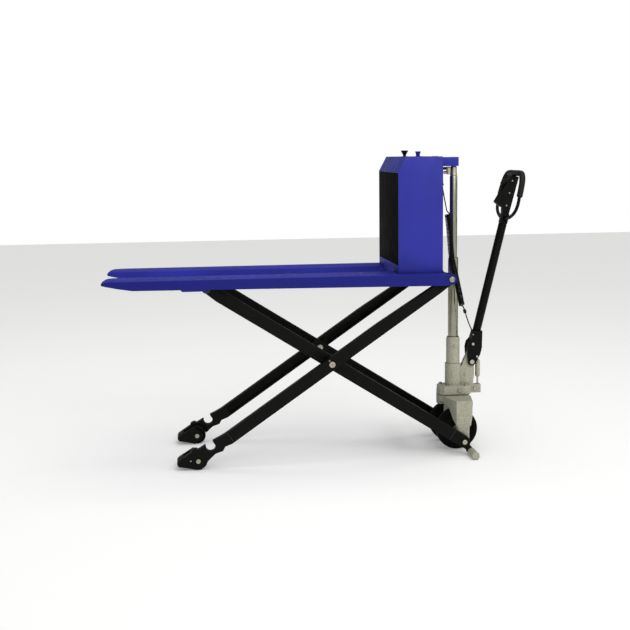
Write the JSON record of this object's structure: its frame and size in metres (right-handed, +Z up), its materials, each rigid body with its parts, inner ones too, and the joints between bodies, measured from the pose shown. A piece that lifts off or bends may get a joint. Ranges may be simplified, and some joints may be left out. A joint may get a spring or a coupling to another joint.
{
  "type": "scissor lift pallet truck",
  "caption": "Scissor-lift pallet truck, forks raised: two forks on crossed arms, tall cover with power pack, telescopic mast, steered pump column and tilting handle with loop grip.",
  "frame": {"origin": "centre of the bounding box at floor level, measured without the cord", "axes": "+X towards the handle, forks point along -X, +Y to the driver's right when facing the forks, +Z up"},
  "size_m": [1.7301, 0.5536, 1.257],
  "materials": {
    "blue": "satin blue powder coat",
    "black": "semi-gloss black paint",
    "grey": "silver-grey sprayed casting",
    "chrome": "hard chrome",
    "zinc": "zinc-plated steel",
    "rubber": "matt",
    "tyre": "matt",
    "casing": "fine texture",
    "hub": "painted",
    "iron": "painted",
    "tank": "translucent moulding",
    "panel": "textured black"
  },
  "bodies": {
    "frame": {"saddle_frame": "grey", "rear_pin_left": "zinc", "rear_pin_right": "zinc"},
    "steering_column": {"pump_casting": "grey", "mast_barrel": "grey", "steer_axle": "zinc", "handle_pin": "zinc", "cord_lead_upper": "rubber", "cord_coil": "rubber", "cord_lead_lower": "rubber"},
    "mast_stage": {"mast_stage": "chrome"},
    "mast_piston": {"mast_piston": "chrome"},
    "steer_wheel_left": {"steer_wheel_hub_left": "hub", "steer_wheel_tyre_left": "tyre"},
    "steer_wheel_right": {"steer_wheel_hub_right": "hub", "steer_wheel_tyre_right": "tyre"},
    "pump_plunger": {"pump_plunger": "chrome"},
    "release_valve": {"release_valve": "grey"},
    "handle": {"handle_bracket": "black", "pump_roller": "zinc", "handle_shaft": "black", "loop_yoke": "black", "loop_rod_left": "black", "loop_rod_right": "black", "loop_grip": "rubber", "control_head": "casing"},
    "lift_rocker": {"lift_rocker": "rubber"},
    "release_lever": {"release_lever": "casing"},
    "inner_arms": {"inner_arm_left": "black", "inner_arm_right": "black", "inner_tie_bar": "black", "stabiliser_left": "grey", "stabiliser_right": "grey", "cross_pin_left": "zinc", "cross_pin_right": "zinc"},
    "track_roller_left": {"track_roller_left": "zinc"},
    "track_roller_right": {"track_roller_right": "zinc"},
    "outer_arms": {"outer_arm_left": "black", "outer_arm_right": "black", "front_roller_pin_left": "zinc", "front_roller_pin_right": "zinc"},
    "front_roller_left": {"front_roller_left": "tyre"},
    "front_roller_right": {"front_roller_right": "tyre"},
    "carriage": {"fork_left": "blue", "fork_right": "blue", "lug_bolt_left": "zinc", "lug_bolt_right": "zinc", "base_frame": "blue", "cover": "blue", "front_panel": "panel", "crosshead": "blue", "mast_head": "zinc", "oil_tubes": "zinc", "battery_left": "casing", "battery_right": "casing", "power_unit": "iron", "oil_tank": "tank", "controller": "casing"},
    "stop_knob": {"stop_knob": "casing"},
    "selector_knob": {"selector_knob": "casing"}
  },
  "joints": [
    {"name": "lift_lower", "type": "hinge", "parent": "frame", "child": "inner_arms", "pos_m": [0.5929, 0, 0.0575], "axis": [0, -1, 0], "range_deg": [0, 32.5], "deforming": ["cord_lead_upper"]},
    {"name": "outer_cross", "type": "hinge", "parent": "inner_arms", "child": "outer_arms", "pos_m": [0.03626, 0, 0.41212], "axis": [0, -1, 0], "range_deg": [-65.5, 0]},
    {"name": "carriage_lug", "type": "hinge", "parent": "outer_arms", "child": "carriage", "pos_m": [0.51913, 0, 0.74502], "axis": [0, -1, 0], "range_deg": [0, 33]},
    {"name": "track_roller_left_spin", "type": "hinge", "parent": "inner_arms", "child": "track_roller_left", "pos_m": [-0.45839, -0.232, 0.72724], "axis": [0, 1, 0], "continuous": true},
    {"name": "track_roller_right_spin", "type": "hinge", "parent": "inner_arms", "child": "track_roller_right", "pos_m": [-0.45839, 0.232, 0.72724], "axis": [0, 1, 0], "continuous": true},
    {"name": "front_roller_left_spin", "type": "hinge", "parent": "outer_arms", "child": "front_roller_left", "pos_m": [-0.50712, -0.2075, 0.0375], "axis": [0, 1, 0], "continuous": true},
    {"name": "front_roller_right_spin", "type": "hinge", "parent": "outer_arms", "child": "front_roller_right", "pos_m": [-0.50712, 0.2075, 0.0375], "axis": [0, 1, 0], "continuous": true},
    {"name": "steer", "type": "hinge", "parent": "frame", "child": "steering_column", "pos_m": [0.5879, 0, 0], "axis": [0, 0, 1], "range_deg": [-80, 80]},
    {"name": "mast_stage_slide", "type": "slide", "parent": "frame", "child": "mast_stage", "axis": [0, 0, -1], "range_m": [0, 0.336]},
    {"name": "mast_piston_slide", "type": "slide", "parent": "frame", "child": "mast_piston", "axis": [0, 0, -1], "range_m": [0, 0.671]},
    {"name": "steer_wheel_left_spin", "type": "hinge", "parent": "steering_column", "child": "steer_wheel_left", "pos_m": [0.5879, -0.068, 0.087], "axis": [0, 1, 0], "continuous": true},
    {"name": "steer_wheel_right_spin", "type": "hinge", "parent": "steering_column", "child": "steer_wheel_right", "pos_m": [0.5879, 0.068, 0.087], "axis": [0, 1, 0], "continuous": true},
    {"name": "handle_tilt", "type": "hinge", "parent": "steering_column", "child": "handle", "pos_m": [0.6659, 0, 0.361], "axis": [0, 1, 0], "range_deg": [0, 62], "stiffness_Nm_per_rad": 12, "springref_deg": -57.3},
    {"name": "plunger_slide", "type": "slide", "parent": "steering_column", "child": "pump_plunger", "axis": [0, 0, 1], "range_m": [0, 0.03]},
    {"name": "release_lever_squeeze", "type": "hinge", "parent": "handle", "child": "release_lever", "pos_m": [0.79018, 0, 1.04762], "axis": [0, 1, 0], "range_deg": [0, 3], "stiffness_Nm_per_rad": 4},
    {"name": "release_valve_slide", "type": "slide", "parent": "steering_column", "child": "release_valve", "axis": [0, 0, -1], "range_m": [0, 0.004]},
    {"name": "lift_rocker_tilt", "type": "hinge", "parent": "handle", "child": "lift_rocker", "pos_m": [0.849, 0, 1.09512], "axis": [0, 1, 0], "range_deg": [-6, 6], "stiffness_Nm_per_rad": 0.5},
    {"name": "stop_knob_press", "type": "slide", "parent": "carriage", "child": "stop_knob", "axis": [0, 0, -1], "range_m": [0, 0.005]},
    {"name": "selector_turn", "type": "hinge", "parent": "carriage", "child": "selector_knob", "pos_m": [0.4164, -0.096, 1.24], "axis": [0, 0, 1], "range_deg": [-45, 45]}
  ],
  "couplings": [
    {"joint": "outer_cross", "follows": "lift_lower", "ratio": -2.0107},
    {"joint": "carriage_lug", "follows": "lift_lower", "ratio": 1.0107},
    {"joint": "mast_stage_slide", "follows": "lift_lower", "m_per_rad": 0.59036},
    {"joint": "mast_piston_slide", "follows": "lift_lower", "m_per_rad": 1.1807},
    {"joint": "plunger_slide", "follows": "handle_tilt", "m_per_rad": 0.018},
    {"joint": "release_valve_slide", "follows": "release_lever_squeeze", "m_per_rad": 0.038197}
  ]
}
